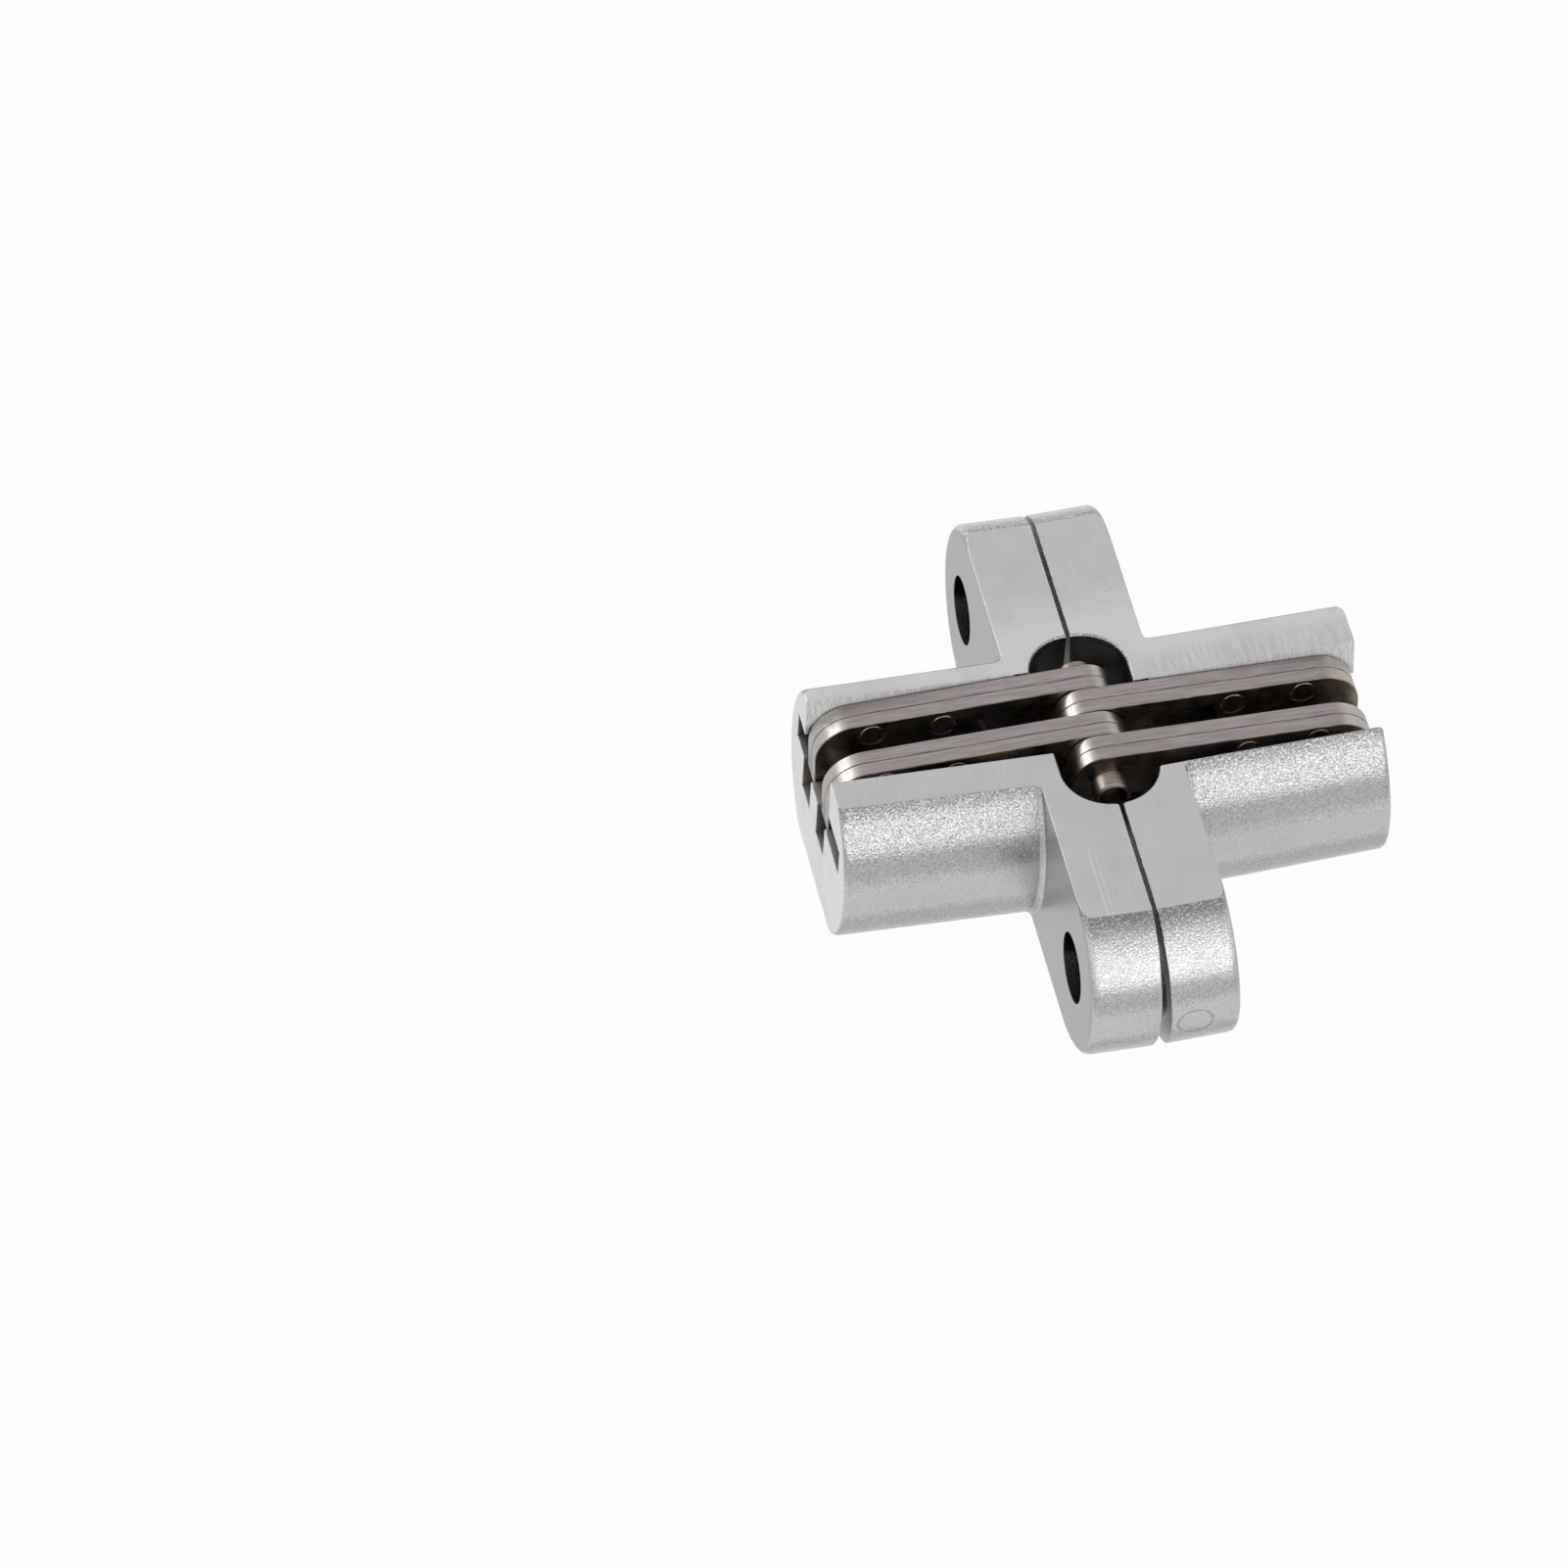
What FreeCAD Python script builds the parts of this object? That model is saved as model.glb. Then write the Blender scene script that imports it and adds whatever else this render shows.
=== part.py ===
import FreeCAD, Part
import math
import os

os.makedirs("parts", exist_ok=True)
Vector = FreeCAD.Vector

# Concealed hinge: two die-cast bodies face to face, joined by two crossed sets of steel links.
# Each body has a flange that lies flush in the wood's edge and a barrel that fills a drilled hole.
# Every link turns on a pin fixed low in one body, crosses the other links at the centre pin,
# and carries a pin at its far end that slides in a curved guide in the other body.

# Millimetres and degrees. A body's own frame: its face is the plane X = 0, the barrel points
# to -X, the length runs along Y, and Z goes from the bottom flat up to the top flat.

# Castings
body_length = 45.0
body_height = 13.0
body_depth = 19.0
flange_thickness = 4.9
flange_end_crown = 0.5
flange_back_round = 0.65
barrel_diameter = 17.5
barrel_draft = 0.2
barrel_end_round = 0.4
barrel_root_round = 0.35
face_edge_round = 0.1

# Pocket for the ends of the centre pin, open at the top
pocket_radius = 3.3
pocket_length = 15.6
pocket_middle = -0.45
pocket_depth = 5.5
pocket_rim = 0.12
pocket_mouth_round = 0.4

# Screw holes, countersunk from the face
screw_inset = 5.7
screw_hole_diameter = 5.0
screw_head_diameter = 8.6

# Linkage, laid out with the faces parallel and the hinge shut
closed_gap = 1.1
rest_pinch = 4.0
full_swing = 180.0
open_margin = 3.0
pivot_inset = 2.4
pivot_height = 3.5
centre_height = 11.1
slide_inset = 2.05
slide_drop = 2.35

# Link plates, stamped and riveted in pairs
pack_pitch = 2.2
plate_thickness = 1.06
plate_parting = 0.02
eye_radius = 2.0
eye_overhang = 0.25
foot_radius = 2.0
arm_droop = 2.0
arm_taper = 0.3
nose_top_radius = 2.9
nose_low_radius = 2.3
nose_drop = 3.75
heel_inset = 6.8
elbow_round = 1.4
plate_edge_break = 0.05
notch_clearance = 0.2
rivet_diameter = 1.9
rivet_rise = 0.3
rivet_insets = (4.0, 9.0)
rivet_recess = 0.06

# Pins
fixed_pin_diameter = 2.2
fixed_pin_half_length = 6.3
centre_shaft_diameter = 2.2
centre_head_diameter = 2.6
centre_head_seat = 4.85
centre_front_reach = 6.3
centre_rear_reach = 5.5
centre_cup_diameter = 2.0
centre_cup_depth = 0.9
slide_pin_diameter = 2.0
slide_pin_half_length = 6.35
pin_end_break = 0.15

# Clearances
running_clearance = 0.05
seat_clearance = 0.02
guide_clearance = 0.15
guide_end_clearance = 0.2
slot_clearance = 0.1
left_slot_play = 0.8
right_slot_play = 1.2
swing_clearance = 0.25
long_slot_floor = 4.4
overcut = 1.0

# Sizes that follow
half_turn = 180.0
barrel_radius = barrel_diameter / 2
axis_height = body_height / 2
flange_end_radius = axis_height + flange_end_crown
screw_spacing = body_length - 2 * screw_inset
nose_reach = body_depth
slide_reach = nose_reach - slide_inset
guide_half_height = slide_pin_diameter / 2 + guide_clearance
notch_radius = fixed_pin_diameter / 2 + notch_clearance

# Planes of the four link packs along Y, from the back of the hinge to its front.
# The packs alternate: the first and third reach into the left body.
left_packs = {"rear": pack_pitch * 1.5, "front": -pack_pitch * 0.5}
right_packs = {"rear": pack_pitch * 0.5, "front": -pack_pitch * 1.5}
stack_half = pack_pitch * 2


# The crank from the fixed pivot to the centre pin, in the body's own frame

crank_x = pivot_inset + closed_gap / 2
crank_z = centre_height - pivot_height
crank_length = math.hypot(crank_x, crank_z)
crank_shut = math.degrees(math.atan2(crank_z, crank_x))
crank_open = -math.degrees(math.asin((open_margin + pivot_height) / crank_length))
crank_rate = (crank_shut - crank_open) / full_swing
arm_rate = 1 - crank_rate


def centre_at(swing):
    """Centre pin seen from one body, when the other has swung open by this angle."""
    angle = math.radians(crank_shut - crank_rate * swing)
    return Vector(-pivot_inset + crank_length * math.cos(angle), 0,
                  pivot_height + crank_length * math.sin(angle))


def turned(point, angle):
    """The point turned about the Y axis, which carries +Z towards +X."""
    turn = FreeCAD.Rotation(Vector(0, 1, 0), angle)
    return turn.multVec(point)


def slide_at(swing):
    """Sliding pin seen from the body whose guide it runs in."""
    arm = Vector(-slide_reach, 0, -slide_drop)
    return centre_at(swing) + turned(arm, arm_rate * swing)


# Building blocks

def prism(edges, low, high):
    """A closed outline in the XZ plane, as a solid from Y = low to Y = high."""
    face = Part.Face(Part.Wire(edges))
    face.translate(Vector(0, low, 0))
    return face.extrude(Vector(0, high - low, 0))


def polygon(corners):
    """Edges of a closed polygon through (x, z) corners."""
    points = [Vector(x, 0, z) for x, z in corners]
    return Part.makePolygon(points + points[:1]).Edges


def block(x_span, y_span, z_span):
    """A box between the two ends of each span."""
    size = [span[1] - span[0] for span in (x_span, y_span, z_span)]
    return Part.makeBox(*size, Vector(x_span[0], y_span[0], z_span[0]))


def rod(radius, centre, low, high):
    """A cylinder along Y."""
    return Part.makeCylinder(radius, high - low, Vector(centre.x, low, centre.z), Vector(0, 1, 0))


def polar(centre, radius, angle):
    """The point at this angle, in degrees from +X towards +Z, on a circle in the XZ plane."""
    turn = math.radians(angle)
    return Vector(centre.x + radius * math.cos(turn), centre.y, centre.z + radius * math.sin(turn))


def arc(centre, radius, start, end):
    """A circular edge in the XZ plane."""
    points = [polar(centre, radius, angle) for angle in (start, (start + end) / 2, end)]
    return Part.Arc(*points).toShape()


def broken_rod(radius, centre, low, high):
    """A pin along Y with both end edges broken."""
    pin = rod(radius, centre, low, high)
    rims = [edge for edge in pin.Edges if isinstance(edge.Curve, Part.Circle)]
    return pin.makeChamfer(pin_end_break, rims)


def belt(first, first_radius, second, second_radius, low, high):
    """A bar with round ends: two circles and their outer tangents."""
    along = math.degrees(math.atan2(second.z - first.z, second.x - first.x))
    spread = math.degrees(math.acos((first_radius - second_radius) / (second - first).Length))
    edges = [
        arc(first, first_radius, along + spread, along + 2 * half_turn - spread),
        Part.makeLine(polar(first, first_radius, along - spread), polar(second, second_radius, along - spread)),
        arc(second, second_radius, along - spread, along + spread),
        Part.makeLine(polar(second, second_radius, along + spread), polar(first, first_radius, along + spread)),
    ]
    return prism(edges, low, high)


# Castings

def flange():
    """The flange before its flats are milled: a long round plate with a soft back edge."""
    rise = Vector(0, 0, flange_end_radius)
    ends = {}
    for side in (-1, 1):
        ends[side] = Vector(0, side * (body_length / 2 - flange_end_radius), axis_height)
    tip = Vector(0, flange_end_radius, 0)
    outline = Part.Wire([
        Part.makeLine(ends[-1] + rise, ends[1] + rise),
        Part.Arc(ends[1] + rise, ends[1] + tip, ends[1] - rise).toShape(),
        Part.makeLine(ends[1] - rise, ends[-1] - rise),
        Part.Arc(ends[-1] - rise, ends[-1] - tip, ends[-1] + rise).toShape(),
    ])
    plate = Part.Face(outline).extrude(Vector(-flange_thickness, 0, 0))
    back = [edge for edge in plate.Edges if edge.BoundBox.XMax < -flange_thickness / 2]
    return plate.makeFillet(flange_back_round, back)


def barrel():
    """The barrel with its draft, its rounded end and the small round at its root."""
    root = Vector(0, 0, axis_height)
    cone = Part.makeCone(barrel_radius, barrel_radius - barrel_draft, body_depth, root, Vector(-1, 0, 0))
    rims = [edge for edge in cone.Edges
            if isinstance(edge.Curve, Part.Circle) and edge.BoundBox.XMax < -body_depth / 2]
    cone = cone.makeFillet(barrel_end_round, rims)
    inner = Vector(-flange_thickness, 0, axis_height)
    foot = Vector(-flange_thickness, 0, axis_height + barrel_radius + barrel_root_round)
    skirt = foot - Vector(barrel_root_round, 0, 0)
    hollow = polar(skirt, barrel_root_round, -half_turn / 4)
    toe = skirt - Vector(0, 0, barrel_root_round + barrel_draft)
    lip = skirt - Vector(0, 0, barrel_root_round)
    ring = Part.Face(Part.Wire([
        Part.makeLine(inner, foot),
        Part.Arc(foot, hollow, lip).toShape(),
        Part.makeLine(lip, toe),
        Part.makeLine(toe, inner),
    ]))
    return cone.fuse(ring.revolve(root, Vector(1, 0, 0), 2 * half_turn))


def blank():
    """Flange and barrel in one piece with milled flats, before anything is opened in it."""
    flats = block((-body_depth, 0), (-body_length, body_length), (0, body_height))
    solid = flange().fuse(barrel()).common(flats).removeSplitter()
    face_rim = [edge for edge in solid.Edges
                if abs(edge.BoundBox.XMin) < seat_clearance and abs(edge.BoundBox.XMax) < seat_clearance]
    return solid.makeFillet(face_edge_round, face_rim)


def pocket_outline(radius, height):
    """The pocket's long round outline at one height, eased where its front meets the face."""
    half = pocket_length / 2 - pocket_radius
    ease = pocket_mouth_round + pocket_radius - radius
    back = Vector(0, pocket_middle + half, height)
    front = Vector(0, pocket_middle - half, height)
    side = Vector(radius, 0, 0)
    corner = front - Vector(ease, math.sqrt((radius + ease) ** 2 - ease ** 2), 0)
    meeting = front + (corner - front) * (radius / (radius + ease))
    mouth = Vector(0, corner.y, height)
    return Part.Wire([
        Part.makeLine(front + side, back + side),
        short_arc(back, back + side, back + Vector(0, radius, 0)),
        short_arc(back, back + Vector(0, radius, 0), back - side),
        Part.makeLine(back - side, front - side),
        short_arc(front, front - side, meeting),
        short_arc(corner, meeting, mouth),
        Part.makeLine(mouth, mouth + side),
        Part.makeLine(mouth + side, front + side),
    ])


def short_arc(middle, start, end):
    """The shorter arc about a middle, from one point to another."""
    bow = (start - middle) + (end - middle)
    return Part.Arc(start, middle + bow * ((start - middle).Length / bow.Length), end).toShape()


def pocket():
    """The pocket with a small flare round its rim."""
    floor = body_height - pocket_depth
    well = Part.Face(pocket_outline(pocket_radius, floor)).extrude(Vector(0, 0, pocket_depth + overcut))
    low = pocket_outline(pocket_radius, body_height - pocket_rim)
    high = pocket_outline(pocket_radius + pocket_rim, body_height)
    return well.fuse(Part.makeLoft([low, high], True, True))


def guide():
    """The curved guide: the sliding pin's own path, widened by the pin and its clearance."""
    first, last = -rest_pinch, full_swing
    steps = 8
    swings = [first + (last - first) * step / steps for step in range(steps + 1)]
    path = Part.BSplineCurve()
    path.interpolate([slide_at(swing) for swing in swings])
    sides = []
    for sign in (1, -1):
        points = []
        for step in range(steps + 1):
            at = path.FirstParameter + (path.LastParameter - path.FirstParameter) * step / steps
            along = path.tangent(at)[0]
            points.append(path.value(at) + Vector(-along.z, 0, along.x) * sign * guide_half_height)
        side = Part.BSplineCurve()
        side.interpolate(points)
        sides.append(side.toShape())
    upper, lower = sides
    outer = [slide_at(first) + Vector(-body_depth, 0, sign * guide_half_height) for sign in (1, -1)]
    start = [upper.Vertexes[0].Point, lower.Vertexes[0].Point]
    end_cap = Part.Arc(
        upper.Vertexes[-1].Point,
        path.value(path.LastParameter) + path.tangent(path.LastParameter)[0] * guide_half_height,
        lower.Vertexes[-1].Point,
    ).toShape()
    curve = [upper, end_cap, lower, Part.makeLine(start[1], start[0])]
    reach = slide_pin_half_length + guide_end_clearance
    groove = prism(curve, -reach, reach)
    mouth_centre = slide_at(first)
    mouth = prism(polygon([
        (mouth_centre.x, mouth_centre.z + guide_half_height),
        (outer[0].x, outer[0].z),
        (outer[1].x, outer[1].z),
        (mouth_centre.x, mouth_centre.z - guide_half_height),
    ]), -reach, reach)
    seat = rod(guide_half_height, mouth_centre, -reach, reach)
    return groove.fuse([mouth, seat])


def screw_hole(side):
    """One screw hole with its countersink in the face."""
    radius = screw_hole_diameter / 2
    head = screw_head_diameter / 2
    centre = Vector(overcut, side * screw_spacing / 2, axis_height)
    inward = Vector(-1, 0, 0)
    hole = Part.makeCylinder(radius, flange_thickness + 2 * overcut, centre, inward)
    sink = Part.makeCone(head + overcut, radius, head + overcut - radius, centre, inward)
    return hole.fuse(sink)


def pin_seat(side):
    """The groove that holds one end of the fixed pin, open at the bottom flat."""
    radius = fixed_pin_diameter / 2 + seat_clearance
    pivot = Vector(-pivot_inset, 0, pivot_height)
    inner = stack_half - slot_clearance
    outer = fixed_pin_half_length + seat_clearance
    low, high = sorted((side * inner, side * outer))
    channel = block((pivot.x - radius, pivot.x + radius), (low, high), (-overcut, pivot_height))
    return channel.fuse(rod(radius, pivot, low, high))


def casting(long_packs, short_packs, slot_play):
    """A body with room for the links that reach into it and for those that turn on its pin."""
    half_pack = pack_pitch / 2 + slot_clearance
    front_end = (-flange_thickness - slot_clearance, overcut)
    through = (-overcut, body_height + overcut)
    back_wall = long_packs["rear"] + half_pack
    front_wall = long_packs["front"] - half_pack - slot_play
    groove_floor = slide_at(-rest_pinch).z - guide_half_height
    cuts = [pocket(), guide(), pin_seat(1), pin_seat(-1), screw_hole(1), screw_hole(-1)]
    cuts.append(block((-2 * body_depth, overcut), (front_wall, back_wall), (groove_floor, body_height + overcut)))
    for plane in long_packs.values():
        span = (plane - half_pack, plane + half_pack)
        cuts.append(block((-2 * body_depth, overcut), span, (long_slot_floor, body_height + overcut)))
        cuts.append(block(front_end, span, through))
    foot_back = pivot_inset + foot_radius + swing_clearance
    foot_top = pivot_height + foot_radius
    foot_room = [
        (-foot_back, -overcut), (-foot_back, foot_top), (-pocket_radius, body_height - pocket_depth + overcut),
        (-pocket_radius, body_height + overcut), (overcut, body_height + overcut), (overcut, -overcut),
    ]
    for plane in short_packs.values():
        cuts.append(prism(polygon(foot_room), plane - half_pack, plane + half_pack))
    return blank().cut(cuts)


# Links, drawn with the long arm reaching into the left body

def plate(low, high, centre_bore, foot_bore):
    """One stamped plate, with its faces at Y = low and Y = high."""
    centre = Vector(0, 0, 0)
    foot = Vector(closed_gap / 2 + pivot_inset, 0, -crank_z)
    slope = math.radians(arm_droop)
    eye = Vector(eye_overhang, 0, eye_overhang * math.tan(slope))
    top_x = -nose_reach + nose_top_radius
    sink = nose_top_radius - eye_radius
    nose_top = Vector(top_x, 0, (top_x * math.sin(slope) - sink) / math.cos(slope))
    nose_low = Vector(-nose_reach + nose_low_radius, 0, -nose_drop)
    heel = Vector(-nose_reach + heel_inset, 0, -eye_radius - arm_taper)
    gap = heel - nose_low
    lean = math.degrees(math.atan2(gap.z, gap.x)) - math.degrees(math.acos(nose_low_radius / gap.Length))
    upright = half_turn / 2 + arm_droop
    edges = [
        Part.makeLine(polar(eye, eye_radius, upright), polar(nose_top, nose_top_radius, upright)),
        arc(nose_top, nose_top_radius, upright, half_turn),
        Part.makeLine(polar(nose_top, nose_top_radius, half_turn), polar(nose_low, nose_low_radius, half_turn)),
        arc(nose_low, nose_low_radius, half_turn, lean % (2 * half_turn)),
        Part.makeLine(polar(nose_low, nose_low_radius, lean), heel),
        Part.makeLine(heel, polar(eye, eye_radius, -half_turn / 2)),
        arc(eye, eye_radius, -half_turn / 2, upright),
    ]
    solid = prism(edges, low, high)
    solid = solid.fuse(belt(eye, eye_radius, foot, foot_radius, low, high)).removeSplitter()
    corner = [edge for edge in solid.Edges if is_elbow(edge, low, high)]
    solid = solid.makeFillet(elbow_round, corner)
    rim = [edge for edge in solid.Edges if edge.BoundBox.YLength < seat_clearance]
    solid = solid.makeChamfer(plate_edge_break, rim)
    bores = [
        rod(centre_bore, centre, low, high),
        rod(foot_bore, foot, low, high),
        rod(slide_pin_diameter / 2 + seat_clearance, Vector(-slide_reach, 0, -slide_drop), low, high),
        notch(low, high),
    ]
    bores += [rod(rivet_diameter / 2, place, low, high) for place in rivet_places()]
    return solid.cut(bores)


def rivet_places():
    """Middles of the two rivets of a pack, a little above the middle of the arm."""
    return [Vector(-nose_reach + inset, 0, rivet_rise) for inset in rivet_insets]


def is_elbow(edge, low, high):
    """True for the sharp inside corner between the long arm and the foot."""
    box = edge.BoundBox
    upright = box.XLength < seat_clearance and box.ZLength < seat_clearance
    return upright and box.YLength > (high - low) / 2 and -nose_reach / 4 < box.XMin < 0 and box.ZMin < 0


def notch(low, high):
    """Room under the long arm for the other set's fixed pin, which ends up here when open."""
    reach = crank_length
    rest = turned(Vector(-pivot_inset, 0, pivot_height) - centre_at(full_swing), -arm_rate * full_swing)
    ring = rod(reach + notch_radius, Vector(0, 0, 0), low, high)
    ring = ring.cut(rod(reach - notch_radius, Vector(0, 0, 0), low, high))
    below = prism(polygon([(0, 0), (rest.x * 2, rest.z * 2), (rest.x * 2, -body_depth), (0, -body_depth)]), low, high)
    return ring.common(below).fuse(rod(notch_radius, rest, low, high))


def rivets(plane):
    """The flush rivets that hold the two plates of a pack together."""
    half = plate_thickness + plate_parting / 2 - rivet_recess
    return Part.makeCompound([
        broken_rod(rivet_diameter / 2, place, plane - half, plane + half) for place in rivet_places()
    ])


# Each half is drawn in its own frame, then both are laid out about the plane X = 0

def rest_place():
    """Carries the left body's frame to its place at rest, pinched shut on its top edges."""
    centre = centre_at(-rest_pinch)
    turn = FreeCAD.Rotation(Vector(0, 1, 0), rest_pinch / 2)
    foot_of_face = turn.multVec(-centre)
    return FreeCAD.Placement(Vector(0, 0, -foot_of_face.z) - turn.multVec(centre), turn)


def in_body(shape):
    """A shape drawn in the left body's frame, at its place at rest."""
    placed = shape.copy()
    placed.Placement = rest_place().multiply(shape.Placement)
    return placed


def on_arm(shape):
    """A shape drawn about the centre pin with its long arm in the left body, at rest."""
    turn = FreeCAD.Rotation(Vector(0, 1, 0), -arm_rate * rest_pinch)
    arm_place = FreeCAD.Placement(centre_at(-rest_pinch), turn)
    placed = shape.copy()
    placed.Placement = rest_place().multiply(arm_place)
    return placed


def opposite(shape):
    """The same shape on the other side of the plane X = 0."""
    return shape.mirror(Vector(0, 0, 0), Vector(1, 0, 0))


def save(name, shape):
    solids = shape.Solids
    if not solids or not all(solid.isValid() and solid.isClosed() for solid in solids):
        raise ValueError(name + " is not a sound solid")
    whole = solids[0] if len(solids) == 1 else Part.makeCompound(solids)
    whole.exportStep("parts/" + name + ".step")
    print(name, len(solids), "solid(s)", round(whole.Volume, 1), "mm3")


save("left_body", in_body(casting(left_packs, right_packs, left_slot_play)))
save("right_body", opposite(in_body(casting(right_packs, left_packs, right_slot_play))))

fixed_pin = broken_rod(fixed_pin_diameter / 2, Vector(-pivot_inset, 0, pivot_height),
                        -fixed_pin_half_length, fixed_pin_half_length)
save("left_fixed_pin", in_body(fixed_pin))
save("right_fixed_pin", opposite(in_body(fixed_pin)))

slide_pin = broken_rod(slide_pin_diameter / 2, Vector(-slide_reach, 0, -slide_drop),
                        -slide_pin_half_length, slide_pin_half_length)
save("left_slide_pin", on_arm(slide_pin))
save("right_slide_pin", opposite(on_arm(slide_pin)))

axis = Vector(0, 0, 0)
shaft = rod(centre_shaft_diameter / 2, axis, -centre_head_seat, centre_head_seat)
front_head = broken_rod(centre_head_diameter / 2, axis, -centre_front_reach, -centre_head_seat)
rear_head = broken_rod(centre_head_diameter / 2, axis, centre_head_seat, centre_rear_reach)
cup = rod(centre_cup_diameter / 2, axis, -centre_front_reach, centre_cup_depth - centre_front_reach)
save("centre_pin", on_arm(shaft.fuse([front_head, rear_head]).cut(cup)))

# The set whose long arms lie in the right body is tight on the centre pin. The other turns on it.
tight = centre_shaft_diameter / 2 + seat_clearance
loose = centre_shaft_diameter / 2 + running_clearance
foot_bore = fixed_pin_diameter / 2 + running_clearance
for side, packs, bore in (("left", left_packs, loose), ("right", right_packs, tight)):
    for station, plane in packs.items():
        near = plane - plate_parting / 2
        far = plane + plate_parting / 2
        pair = {
            "outer": plate(far, far + plate_thickness, bore, foot_bore),
            "inner": plate(near - plate_thickness, near, bore, foot_bore),
            "rivets": rivets(plane),
        }
        for layer, shape in pair.items():
            placed = on_arm(shape)
            if side == "right":
                placed = opposite(placed)
            save("_".join((side, station, "link", layer)), placed)
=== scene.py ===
# %% [markdown]
# ## A concealed cross hinge
# The real object is a small cabinet hinge that disappears in the wood. Two die-cast bodies lie face
# to face, and steel links cross between them on a pin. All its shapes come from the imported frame,
# so this lesson is about the rest: camera, finishes, light and floor.

# %% Load the frame
import math

import bpy
from mathutils import Matrix, Vector

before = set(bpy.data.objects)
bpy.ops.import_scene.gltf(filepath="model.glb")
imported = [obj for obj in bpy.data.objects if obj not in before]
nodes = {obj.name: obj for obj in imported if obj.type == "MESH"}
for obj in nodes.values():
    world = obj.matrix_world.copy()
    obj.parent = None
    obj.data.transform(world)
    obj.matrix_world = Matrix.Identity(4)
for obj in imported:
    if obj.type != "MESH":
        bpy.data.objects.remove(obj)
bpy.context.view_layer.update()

# %% [markdown]
# ## Camera
# A photo of a small thing from far off has almost no perspective. Edges of known length were
# measured in the photo, and a camera was fitted to them by least squares: its direction, its
# distance and its focal length. A long lens far away gives the same picture as the real one did.

# %% Camera direction and distance
azimuth = math.radians(-12.415)
elevation = math.radians(48.694)
roll = math.radians(0.409)
distance = 0.616776
aim = Vector((0, 0, 0.0065))
shift_right = 0.021175
shift_up = 0.000560

back = Vector((
    math.sin(azimuth) * math.cos(elevation),
    -math.cos(azimuth) * math.cos(elevation),
    math.sin(elevation),
))
level_right = Vector((math.cos(azimuth), math.sin(azimuth), 0))
level_up = back.cross(level_right)
right = math.cos(roll) * level_right + math.sin(roll) * level_up
up = back.cross(right)
print("camera looks along", [round(c, 3) for c in -back])

# %% Make the camera
photo_width = 1601
focal_pixels = 9093.5
sensor = 36.0
near_limit = 0.01
lens = bpy.data.cameras.new("camera")
lens.sensor_width = sensor
lens.lens = focal_pixels / photo_width * sensor
lens.clip_start = near_limit
camera = bpy.data.objects.new("camera", lens)
bpy.context.scene.collection.objects.link(camera)
turn = Matrix((right, up, back)).transposed().to_4x4()
place = aim - shift_right * right - shift_up * up + distance * back
camera.matrix_world = Matrix.Translation(place) @ turn
bpy.context.scene.camera = camera
print("lens", round(lens.lens, 1), "mm")

# %% [markdown]
# ## Building materials from nodes
# Each finish is a small graph of nodes. The patterns read Object coordinates, so they stay on the
# metal when a joint moves. A Mapping node turns metres into millimetres, which makes every scale
# below a count of features per millimetre. A pair of numbers is a range: a value below the first
# gives 0, a value above the second gives 1, and the other way round where the first is larger.

# %% Helpers for node graphs
def new_finish(name):
    """An empty material, its node tree, and its principled shader."""
    finish = bpy.data.materials.new(name)
    finish.use_nodes = True
    tree = finish.node_tree
    return finish, tree, tree.nodes["Principled BSDF"]


def set_input(tree, socket, value):
    """Link a socket to another one, or give it a constant."""
    if isinstance(value, bpy.types.NodeSocket):
        tree.links.new(value, socket)
    else:
        socket.default_value = value


def add(tree, kind, values=(), **settings):
    """A node of one kind, with its settings and the values of its inputs."""
    made = tree.nodes.new("ShaderNode" + kind)
    for key, value in settings.items():
        setattr(made, key, value)
    for key, value in dict(values).items():
        set_input(tree, made.inputs[key], value)
    return made


def millimetres(tree, stretch=(1, 1, 1)):
    """Object coordinates in millimetres, stretched along the axes."""
    where = add(tree, "TexCoord").outputs["Object"]
    scale = [1000 * s for s in stretch]
    return add(tree, "Mapping", {"Vector": where, "Scale": scale}).outputs["Vector"]


def noise(tree, stretch, scale, detail=2.0, roughness=0.5):
    """Noise from 0 to 1, with a number of features per millimetre."""
    return add(tree, "TexNoise", {
        "Vector": millimetres(tree, stretch), "Scale": scale, "Detail": detail, "Roughness": roughness,
    }).outputs["Fac"]


def remap(tree, value, low, high, to_low=0.0, to_high=1.0):
    """A value carried from one range to another, clamped."""
    return add(tree, "MapRange", {
        "Value": value, "From Min": low, "From Max": high, "To Min": to_low, "To Max": to_high,
    }).outputs["Result"]


def combine(tree, operation, first, second=0.0):
    """Two numbers joined by a sum, a product or another operation."""
    return add(tree, "Math", {0: first, 1: second}, operation=operation).outputs[0]


def product(tree, first, *others):
    """Several numbers multiplied."""
    for other in others:
        first = combine(tree, "MULTIPLY", first, other)
    return first


def blend_colours(tree, factor, low, high):
    """A colour between two others."""
    made = add(tree, "Mix", data_type="RGBA")
    for index, value in ((0, factor), (6, low), (7, high)):
        set_input(tree, made.inputs[index], value)
    return made.outputs[2]


def grey(level):
    """A neutral colour."""
    return (level, level, level, 1)


def tint(level, red, blue):
    """A grey with its red and its blue raised or lowered."""
    return (level * red, level, level * blue, 1)


print("node helpers ready")

# %% Helpers for edges, flats and hollows
def facing(tree, axis):
    """How squarely the surface faces an axis of the object, from 0 to 1."""
    where = add(tree, "TexCoord")
    parts = add(tree, "SeparateXYZ", {"Vector": where.outputs["Normal"]})
    return combine(tree, "ABSOLUTE", parts.outputs[axis])


def place_along(tree, axis):
    """The place along an axis of the object, in millimetres."""
    return add(tree, "SeparateXYZ", {"Vector": millimetres(tree)}).outputs[axis]


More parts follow.
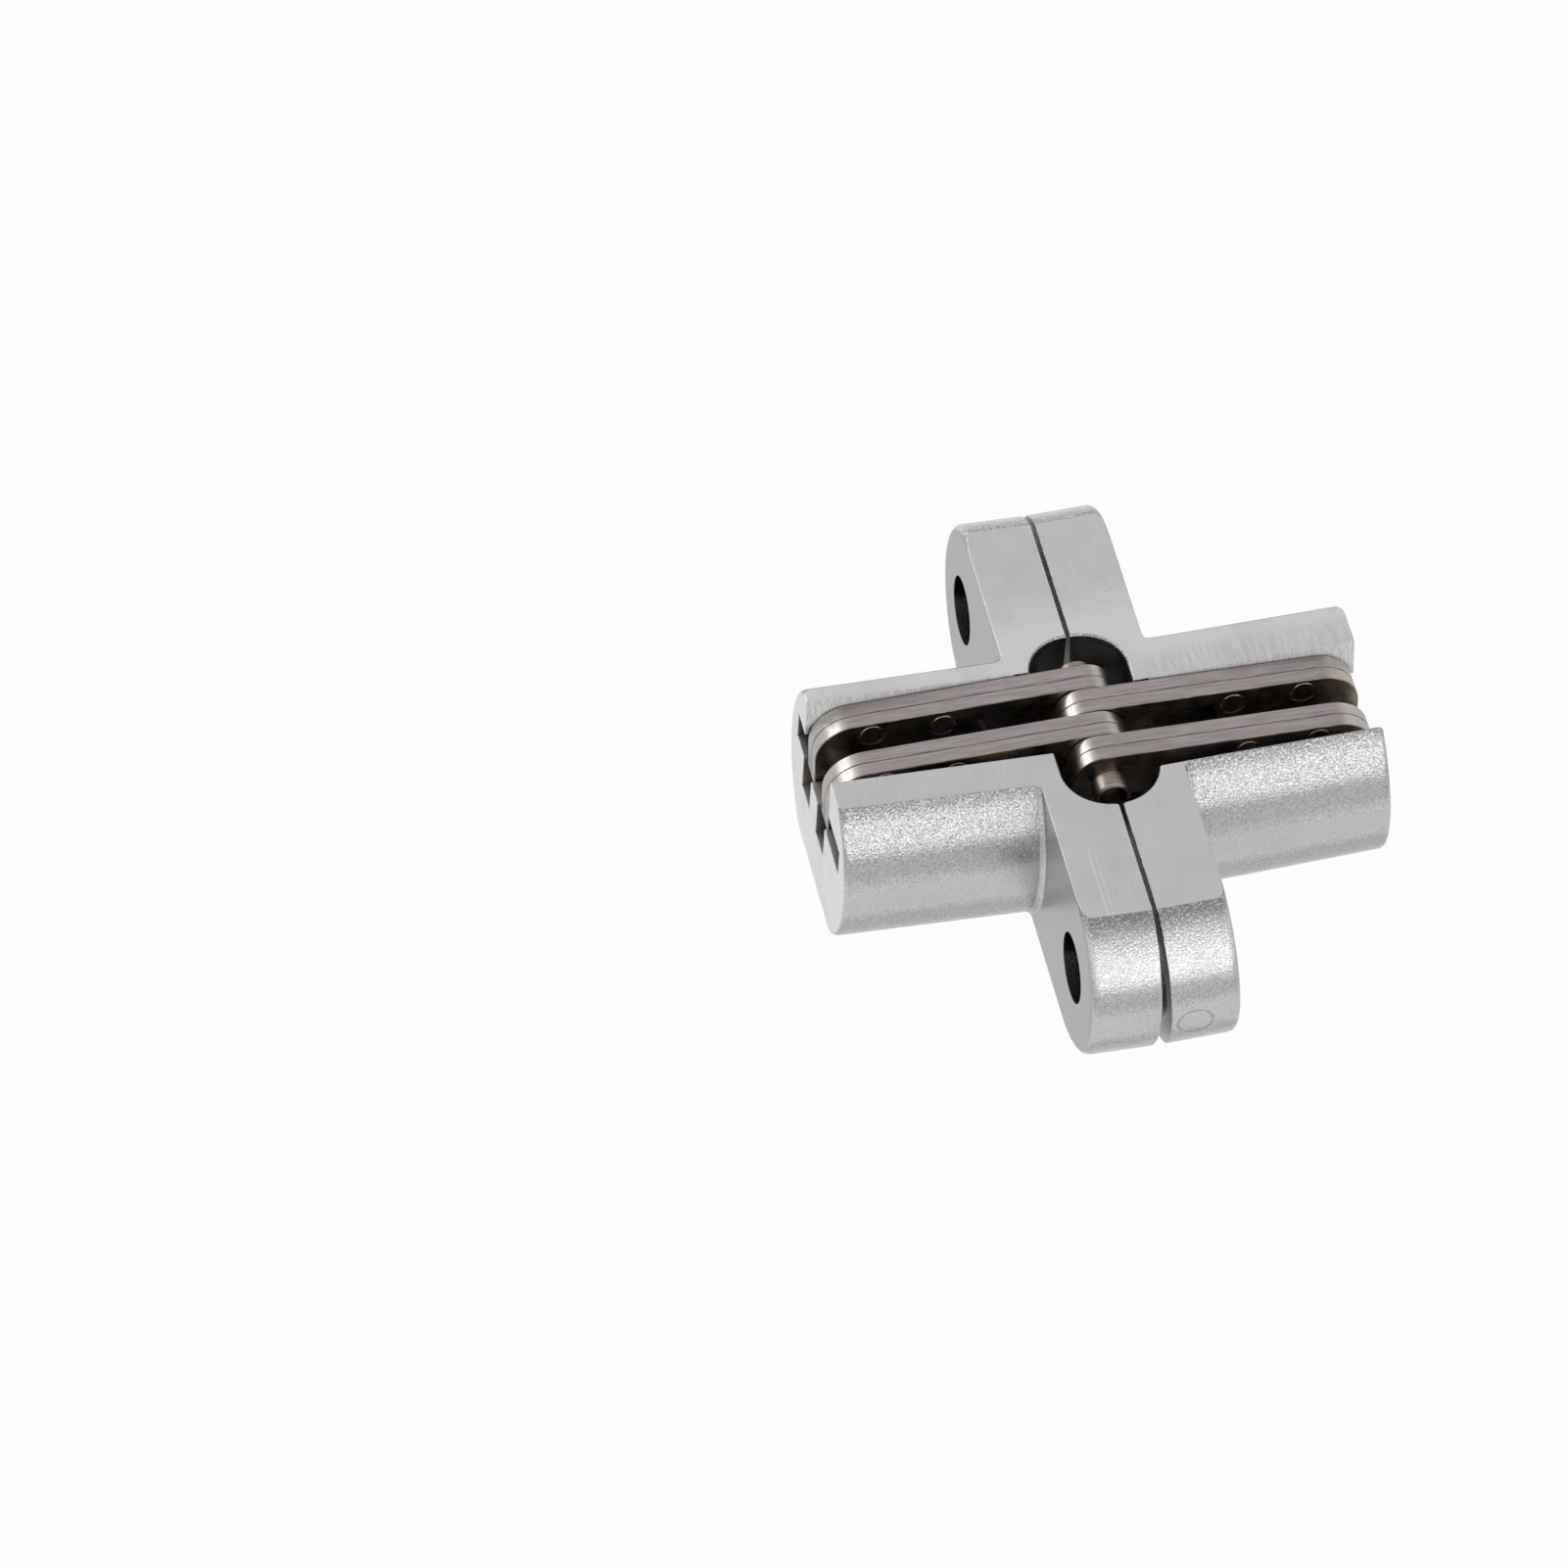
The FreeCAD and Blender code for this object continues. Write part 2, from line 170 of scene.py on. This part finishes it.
def beyond(tree, axis, low, high, to_high=1.0):
    """0 to 1 from one distance to another, on both sides of the middle."""
    return remap(tree, combine(tree, "ABSOLUTE", place_along(tree, axis)), low, high, 0.0, to_high)


edge_mask_range = (0.985, 0.80)
hollow_range = (0.55, 0.12)
ray_samples = 6


def edge_highlight_and_wear(tree, radius):
    """Near 1 along sharp edges, where the surface's normal and its rounded normal differ; it places worn
    edges and painted highlights.
    """
    rounded = add(tree, "Bevel", {"Radius": radius}, samples=ray_samples).outputs[0]
    plain = add(tree, "NewGeometry").outputs["Normal"]
    dot = add(tree, "VectorMath", {0: rounded, 1: plain}, operation="DOT_PRODUCT")
    return remap(tree, dot.outputs["Value"], *edge_mask_range)


def hollow_shade(tree, reach):
    """Near 1 deep in slots and holes, where shade is painted, and 0 in the open."""
    open_sky = add(tree, "AmbientOcclusion", {"Distance": reach}, samples=ray_samples)
    return remap(tree, open_sky.outputs["AO"], *hollow_range)


def away_squared(tree, first, first_middle, second, second_middle):
    """The square of the distance from a point of a plane, in millimetres."""
    one = combine(tree, "SUBTRACT", first, first_middle)
    two = combine(tree, "SUBTRACT", second, second_middle)
    return combine(tree, "ADD", product(tree, one, one), product(tree, two, two))


def coat(finish, endings, label):
    """Put a finish on the nodes whose names end in one of some words."""
    chosen = [name for name in nodes if name.endswith(endings)]
    for name in chosen:
        nodes[name].data.materials.clear()
        nodes[name].data.materials.append(finish)
    print(label, "on", len(chosen), "nodes")


print("surface helpers ready")

# %% [markdown]
# ## Die-cast zinc
# The bodies are cast, then blasted with fine grit, so their round surfaces sparkle softly. The
# flats were milled afterwards: they are even, and carry short fine scratches along the flange.
# One material does both, and the surface's normal decides which one shows. The boundary is made
# ragged with a little noise, because the cutter just touches the blasted skin there. Light and shade
# are painted into the colour as well: highlights on the ends and edges, shade in creases, on the
# sides and in the hollows.

# %% Measures of the casting, in millimetres
left = [nodes["left_body"].matrix_world @ Vector(corner) for corner in nodes["left_body"].bound_box]
flange_length = 1000 * (max(c.y for c in left) - min(c.y for c in left))
body_height = 1000 * max(c.z for c in left)
hole_inset = 5.7
hole_radius = 2.5
hole_margin = 0.8
hole_wall = 0.8
hole_out = flange_length / 2 - hole_inset
ring_across, ring_above, ring_radius, ring_front = 2.05, 5.75, 1.22, -18.0
ring_line = (0.10, 0.02)
wall_facing, wall_start = 0.9, 4.5
brow_rise = (10.8, 11.4)
crease_shade_range, rest_slope = (12.1, 12.8), 0.0349
flange_end = (17.0, 19.0)
barrel_end = (17.4, 17.8)
print("screw holes", round(2 * hole_out, 1), "mm apart")


# %% Masks for the marks that sit in one place
def ejector_mark(tree):
    """1 along the thin ring that an ejector left on the front end of the right flange."""
    away = away_squared(tree, place_along(tree, "X"), ring_across, place_along(tree, "Z"), ring_above)
    off = combine(tree, "SUBTRACT", combine(tree, "SQRT", away), ring_radius)
    line = remap(tree, combine(tree, "ABSOLUTE", off), *ring_line)
    return product(tree, line, combine(tree, "LESS_THAN", place_along(tree, "Y"), ring_front))


def lit_slot_brow(tree):
    """1 on the top of the slots' long walls, which get painted light: a pale, matt colour."""
    wall = combine(tree, "GREATER_THAN", facing(tree, "Y"), wall_facing)
    out = combine(tree, "ABSOLUTE", place_along(tree, "X"))
    out = combine(tree, "GREATER_THAN", out, wall_start)
    return product(tree, wall, out, remap(tree, place_along(tree, "Z"), *brow_rise))


def screw_hole(tree):
    """1 on the walls of the screw holes, which lie along X near both ends of the flange."""
    out = combine(tree, "ABSOLUTE", place_along(tree, "Y"))
    away = away_squared(tree, out, hole_out, place_along(tree, "Z"), body_height / 2)
    near = combine(tree, "LESS_THAN", away, (hole_radius + hole_margin) ** 2)
    return product(tree, near, combine(tree, "LESS_THAN", facing(tree, "X"), hole_wall))


print("masks ready")

# %% Where the cast skin is milled flat
casting, tree, shader = new_finish("cast_zinc")
edge_radius = 0.00012
slot_reach = 0.004
tilt = facing(tree, "Z")
ragged = product(tree, noise(tree, (1, 1, 1), 3.0), 0.02)
flat = remap(tree, combine(tree, "SUBTRACT", tilt, ragged), 0.965, 0.985)
upward = remap(tree, tilt, 0.30, 0.55)
# Sharp edges get lighter: partly real wear, partly a painted highlight.
worn_edge_highlight = edge_highlight_and_wear(tree, edge_radius)
# Painted shade: deep in the slots and pockets and in the screw holes the colour goes nearly black.
painted_hollow_shade = combine(tree, "MAXIMUM", hollow_shade(tree, slot_reach), screw_hole(tree))
ring = ejector_mark(tree)
# Painted light: the tops of the slots' long walls are painted pale and matt.
lit_brow = lit_slot_brow(tree)
print("casting masks linked")

# %% Colour of the cast skin, with painted light and shade
grit_scale = 7.0
grit = noise(tree, (1, 1, 1), grit_scale, 2.0, 0.6)
cast_dark, cast_light, painted_low_tone, painted_side_tone = grey(0.45), grey(0.90), grey(0.72), grey(0.50)
painted_flange_end_tone, painted_barrel_end_tone, shade_tone, painted_crease_tone = grey(1.0), grey(0.96), grey(0.36), grey(0.26)

blasted = blend_colours(tree, remap(tree, grit, 0.36, 0.64), cast_dark, cast_light)
# Painted light: steep and downward-facing skin is painted an even, lighter grey.
low = remap(tree, tilt, 0.28, 0.08, 0.0, 0.75)
blasted = blend_colours(tree, low, blasted, painted_low_tone)
# Painted shade: a darker band partway down the round surfaces.
shade = product(tree, remap(tree, tilt, 0.14, 0.26), remap(tree, tilt, 0.52, 0.40), 0.45)
blasted = blend_colours(tree, shade, blasted, shade_tone)
# Painted highlight: skin that faces up near both ends of the flange is painted nearly white.
painted_flange_end_light = product(tree, beyond(tree, "Y", *flange_end, 0.5), upward)
blasted = blend_colours(tree, painted_flange_end_light, blasted, painted_flange_end_tone)
# Painted shade: a dark, speckled band just under the top of the round surfaces, along the crease.
fallen = product(tree, combine(tree, "ABSOLUTE", place_along(tree, "X")), rest_slope)
rise = combine(tree, "SUBTRACT", place_along(tree, "Z"), fallen)
painted_crease_shade = product(tree, remap(tree, rise, *crease_shade_range), remap(tree, grit, 0.68, 0.46, 0.15, 1.0), 0.72)
blasted = blend_colours(tree, painted_crease_shade, blasted, painted_crease_tone)
# Painted shade on faces that face along X, and a painted highlight on the far end faces.
side_shade_mask = remap(tree, facing(tree, "X"), 0.80, 0.97)
blasted = blend_colours(tree, side_shade_mask, blasted, painted_side_tone)
painted_barrel_end_light = product(tree, beyond(tree, "X", *barrel_end), side_shade_mask)
blasted = blend_colours(tree, painted_barrel_end_light, blasted, painted_barrel_end_tone)
print("cast skin coloured")

# %% Colour of the milled flats
milled_dark, milled_light, milled_rear = grey(0.62), grey(0.67), grey(0.75)
score_tone, pit_tone = grey(0.76), grey(0.30)
chatter_dark, chatter_light, chatter_share = grey(0.58), grey(0.80), 0.40
chatter_start, chatter_stop, chatter_out = (2.0, 3.0), (4.8, 4.0), (4.0, 6.0)
rear_start, rear_stop = (3.0, 5.0), (12.0, 8.0)
score_front, score_right, score_left = (-5.0, -7.0), (-0.6, -1.2), (-4.2, -3.2)

along_flange, across = place_along(tree, "Y"), place_along(tree, "X")
scratches = noise(tree, (7.0, 0.40, 1), 1.0, 3.0, 0.6)
milled = blend_colours(tree, remap(tree, scratches, 0.3, 0.7), milled_dark, milled_light)
rear = product(tree, remap(tree, along_flange, *rear_start), remap(tree, along_flange, *rear_stop))
milled = blend_colours(tree, rear, milled, milled_rear)
strokes = remap(tree, scratches, 0.42, 0.58)
rough = product(
    tree, remap(tree, along_flange, *chatter_start), remap(tree, along_flange, *chatter_stop),
    remap(tree, across, *chatter_out, 0.0, chatter_share),
)
chatter = blend_colours(tree, strokes, chatter_dark, chatter_light)
milled = blend_colours(tree, rough, milled, chatter)
scores = remap(tree, noise(tree, (4.5, 0.05, 1), 1.0), 0.60, 0.66)
scored = product(
    tree, scores, remap(tree, along_flange, *score_front),
    remap(tree, across, *score_right), remap(tree, across, *score_left),
)
milled = blend_colours(tree, scored, milled, score_tone)
pits = remap(tree, noise(tree, (1, 1, 1), 2.2, 2.0, 0.7), 0.70, 0.76, 0.0, 0.5)
milled = blend_colours(tree, pits, milled, pit_tone)
print("milled flats coloured")

# %% Both together, with worn edges and painted highlights, marks, painted shade and painted light
cloud_tone, worn_highlight_tone, ring_tone = grey(0.55), grey(0.90), grey(0.25)
lit_brow_dark, lit_brow_light = grey(0.72), grey(0.92)
hollow_shade_tone = tint(0.05, 1.10, 0.9)
worn_highlight_share, ring_share, hollow_shade_share, lit_brow_metal = 0.45, 0.3, 0.92, 0.1

clouds = noise(tree, (1, 1, 1), 0.30, 3.0)
surface = blend_colours(tree, flat, blasted, milled)
surface = blend_colours(tree, remap(tree, clouds, 0.45, 0.75, 0.0, 0.25), surface, cloud_tone)
# Below: worn edges with a painted highlight, painted shade in hollows, painted light on the brows.
surface = blend_colours(tree, product(tree, worn_edge_highlight, worn_highlight_share), surface, worn_highlight_tone)
surface = blend_colours(tree, product(tree, ring, ring_share), surface, ring_tone)
surface = blend_colours(tree, product(tree, painted_hollow_shade, hollow_shade_share), surface, hollow_shade_tone)
# Painted light on the tops of the slot walls, which also lose most of their metal look.
surface = blend_colours(tree, lit_brow, surface, blend_colours(tree, strokes, lit_brow_dark, lit_brow_light))
tree.links.new(surface, shader.inputs["Base Color"])
tree.links.new(remap(tree, lit_brow, 0.0, 1.0, 1.0, lit_brow_metal), shader.inputs["Metallic"])
print("zinc coloured")

# %% Gloss and grain of cast and milled zinc
cast_gloss, milled_dullness = (0.24, 0.28), 0.18
low_grain, flat_grain, line_depth, ring_depth = 0.15, 0.05, 0.12, 1.2
grain_height = 0.00007

gloss = remap(tree, clouds, 0.3, 0.7, *cast_gloss)
gloss = combine(tree, "ADD", gloss, product(tree, flat, milled_dullness))
tree.links.new(gloss, shader.inputs["Roughness"])
dents = product(
    tree, grit, remap(tree, upward, 0.0, 1.0, low_grain, 1.0),
    remap(tree, flat, 0.0, 1.0, 1.0, flat_grain),
)
lines = product(tree, scratches, flat, line_depth)
height = combine(tree, "ADD", dents, lines)
height = combine(tree, "SUBTRACT", height, product(tree, ring, ring_depth))
rounded = add(tree, "Bevel", {"Radius": edge_radius}, samples=ray_samples)
relief = add(tree, "Bump", {
    "Height": height, "Strength": 1.0, "Distance": grain_height, "Normal": rounded.outputs[0],
})
tree.links.new(relief.outputs[0], shader.inputs["Normal"])
coat(casting, ("_body",), "cast zinc")

# %% [markdown]
# ## Stamped steel links
# The plates are blanked from steel strip and riveted in pairs, and the top rims of each pack were
# ground together. The grinding left long lines in a warm, pinkish grey. The round ends weren't
# ground: they are brighter. The broad faces lie in the shade: their dark colour is painted shade,
# with an oily brown tint.

# %% Steel for the links
links, tree, shader = new_finish("link_steel")
rim_dark, rim_light = tint(0.29, 1.13, 1.0), tint(0.46, 1.11, 1.0)
end_dark, end_light = tint(0.42, 1.08, 0.96), tint(0.62, 1.06, 0.96)
stain_tone = tint(0.28, 1.16, 0.94)
shaded_oil_dark, shaded_oil_light, shaded_oil_share = tint(0.13, 1.06, 0.90), tint(0.26, 1.24, 0.74), 0.95
end_gloss, ground_dullness, line_strength, line_height = (0.26, 0.40), 0.14, 0.5, 0.00003

along = noise(tree, (0.30, 5.0, 3.0), 1.0, 3.0, 0.65)
fine = noise(tree, (0.5, 14.0, 9.0), 1.0)
stain = noise(tree, (1, 1, 1), 0.6, 3.0)
ground = remap(tree, facing(tree, "Z"), 0.93, 0.99)
broad = remap(tree, facing(tree, "Y"), 0.30, 0.60)

rim = blend_colours(tree, remap(tree, along, 0.3, 0.7), rim_dark, rim_light)
end = blend_colours(tree, remap(tree, fine, 0.3, 0.7), end_dark, end_light)
steel = blend_colours(tree, ground, end, rim)
steel = blend_colours(tree, remap(tree, stain, 0.5, 0.8, 0.0, 0.5), steel, stain_tone)
# Painted shade on the broad faces, with an oily brown tint.
shaded_oily = blend_colours(tree, remap(tree, stain, 0.4, 0.6), shaded_oil_dark, shaded_oil_light)
steel = blend_colours(tree, product(tree, broad, shaded_oil_share), steel, shaded_oily)
tree.links.new(steel, shader.inputs["Base Color"])
shader.inputs["Metallic"].default_value = 1.0
gloss = remap(tree, fine, 0.3, 0.7, *end_gloss)
gloss = combine(tree, "ADD", gloss, product(tree, ground, ground_dullness))
tree.links.new(gloss, shader.inputs["Roughness"])
relief = add(tree, "Bump", {"Height": along, "Strength": line_strength, "Distance": line_height})
tree.links.new(relief.outputs[0], shader.inputs["Normal"])
coat(links, ("_inner", "_outer"), "link steel")

# %% [markdown]
# ## Turned pins and rivets
# Pins are turned, so their marks run round them, in rings across the axis. A film of oil gives
# the steel a brown cast. The cupped ends are in the dark: their colour is painted shade, inside a
# rim with a painted highlight. The rivets are flush with the plates, and only the edges of their
# heads show, with a painted highlight.

# %% Steel for the pins
pin_steel, tree, shader = new_finish("pin_steel")
ring_dark, ring_light = tint(0.19, 1.20, 0.92), tint(0.31, 1.16, 0.92)
film_tone, bright_tone, cup_shade_tone = tint(0.26, 1.35, 0.75), tint(0.85, 1.05, 0.94), tint(0.02, 1.1, 0.9)
pin_edge, pin_edge_highlight, cup_reach = 0.00010, 0.7, 0.002
pin_gloss, ring_strength, ring_height = (0.28, 0.40), 0.4, 0.00003

rings = noise(tree, (0.4, 9.0, 0.4), 1.0)
film = noise(tree, (1, 1, 1), 1.3)
turned = blend_colours(tree, remap(tree, rings, 0.3, 0.7), ring_dark, ring_light)
turned = blend_colours(tree, remap(tree, film, 0.5, 0.75), turned, film_tone)
# Painted highlight on the pins' edges, and painted shade in the cupped ends.
turned = blend_colours(tree, product(tree, edge_highlight_and_wear(tree, pin_edge), pin_edge_highlight), turned, bright_tone)
turned = blend_colours(tree, hollow_shade(tree, cup_reach), turned, cup_shade_tone)
tree.links.new(turned, shader.inputs["Base Color"])
shader.inputs["Metallic"].default_value = 1.0
tree.links.new(remap(tree, rings, 0.3, 0.7, *pin_gloss), shader.inputs["Roughness"])
relief = add(tree, "Bump", {"Height": rings, "Strength": ring_strength, "Distance": ring_height})
tree.links.new(relief.outputs[0], shader.inputs["Normal"])
coat(pin_steel, ("_pin",), "pin steel")

# %% Steel for the rivets
rivet_steel, tree, shader = new_finish("rivet_steel")
head_dark, head_light, head_edge = tint(0.24, 1.25, 0.80), tint(0.42, 1.18, 0.85), tint(0.95, 1.05, 0.92)
rivet_edge, rivet_edge_highlight, rivet_gloss = 0.00012, 0.8, 0.3

film = noise(tree, (1, 1, 1), 1.3)
head = blend_colours(tree, remap(tree, film, 0.4, 0.7), head_dark, head_light)
# Painted highlight on the rims of the rivet heads.
head = blend_colours(tree, product(tree, edge_highlight_and_wear(tree, rivet_edge), rivet_edge_highlight), head, head_edge)
tree.links.new(head, shader.inputs["Base Color"])
shader.inputs["Metallic"].default_value = 1.0
shader.inputs["Roughness"].default_value = rivet_gloss
coat(rivet_steel, ("_rivets",), "rivet steel")

# %% [markdown]
# ## Floor, sky and light
# The photo has a clean white background. The sky is white to the camera, and the floor lets nearly
# all of it through, so the picture is white everywhere and the floor still takes a soft shadow. In
# reflections both are pale, which keeps the light on the metal plain. The hinge opens downwards,
# so the floor lies lower than the open hinge reaches, and the model can be seen at every pose.

# %% Floor
floor_size = 3.0
floor_drop = 0.022
paper_tone, paper_roughness = grey(0.80), 0.9
seen_white, mirrored_white = 0.95, 0.35
bpy.ops.object.select_all(action="DESELECT")
bpy.ops.mesh.primitive_plane_add(size=floor_size, location=(0, 0, -floor_drop))
floor = bpy.context.object
floor.name = "floor"
paper, tree, shader = new_finish("white_paper")
shader.inputs["Base Color"].default_value = paper_tone
shader.inputs["Roughness"].default_value = paper_roughness
white = add(tree, "Emission", {"Color": (1, 1, 1, 1), "Strength": 1.0})
eye = add(tree, "LightPath")
seen = product(tree, eye.outputs["Is Camera Ray"], seen_white)
mirrored = product(tree, eye.outputs["Is Glossy Ray"], mirrored_white)
pale = add(tree, "MixShader", {0: mirrored, 1: shader.outputs[0], 2: white.outputs[0]})
clear = add(tree, "BsdfTransparent")
both = add(tree, "MixShader", {0: seen, 1: pale.outputs[0], 2: clear.outputs[0]})
tree.links.new(both.outputs[0], tree.nodes["Material Output"].inputs["Surface"])
floor.data.materials.append(paper)
print("floor", floor_size, "m wide")

# %% [markdown]
# The sky is painted: a pale wall behind the hinge brightens the flats, which mirror it, and a
# bright strip low in front gives the round surfaces their soft band of light.

# %% Sky
sky_base, behind_level, strip_level, shown_level = 0.42, 0.41, 0.90, 1.0
behind_range, before_range = (0.15, 0.60), (0.0, -0.5)
strip_foot, strip_top = (0.08, 0.28), (0.72, 0.38)

world = bpy.data.worlds.new("studio")
bpy.context.scene.world = world
world.use_nodes = True
sky = world.node_tree
where = add(sky, "TexCoord")
parts = add(sky, "SeparateXYZ", {"Vector": where.outputs["Generated"]})
away, height = parts.outputs["Y"], parts.outputs["Z"]
behind = remap(sky, away, *behind_range, 0.0, behind_level)
strip = product(
    sky, remap(sky, away, *before_range),
    remap(sky, height, *strip_foot), remap(sky, height, *strip_top), strip_level,
)
level = combine(sky, "ADD", combine(sky, "ADD", behind, strip), sky_base)
shown = add(sky, "Mix", data_type="FLOAT")
sky.links.new(add(sky, "LightPath").outputs["Is Camera Ray"], shown.inputs[0])
sky.links.new(level, shown.inputs[2])
shown.inputs[3].default_value = shown_level
backdrop = sky.nodes["Background"]
backdrop.inputs["Color"].default_value = (1, 1, 1, 1)
sky.links.new(shown.outputs[0], backdrop.inputs["Strength"])
print("sky painted")

# %% Lamps
lamp_target = Vector((0, 0, 0.006))


def soft_box(name, towards, away, size, power):
    """A square area lamp in one direction from the hinge, looking at it."""
    place = lamp_target + away * Vector(towards).normalized()
    lamp = bpy.data.lights.new(name, "AREA")
    lamp.size = size
    lamp.energy = power
    holder = bpy.data.objects.new(name, lamp)
    bpy.context.scene.collection.objects.link(holder)
    holder.location = place
    holder.rotation_euler = (lamp_target - place).to_track_quat("-Z", "Y").to_euler()
    return holder


soft_box("front", towards=(0.142, -0.900, 0.400), away=0.55, size=0.10, power=0.225)
soft_box("left_back", towards=(-0.58, 0.64, 0.44), away=0.50, size=0.20, power=0.35)
print("two soft boxes")

# %% Light settings
bpy.context.scene.view_settings.view_transform = "Standard"
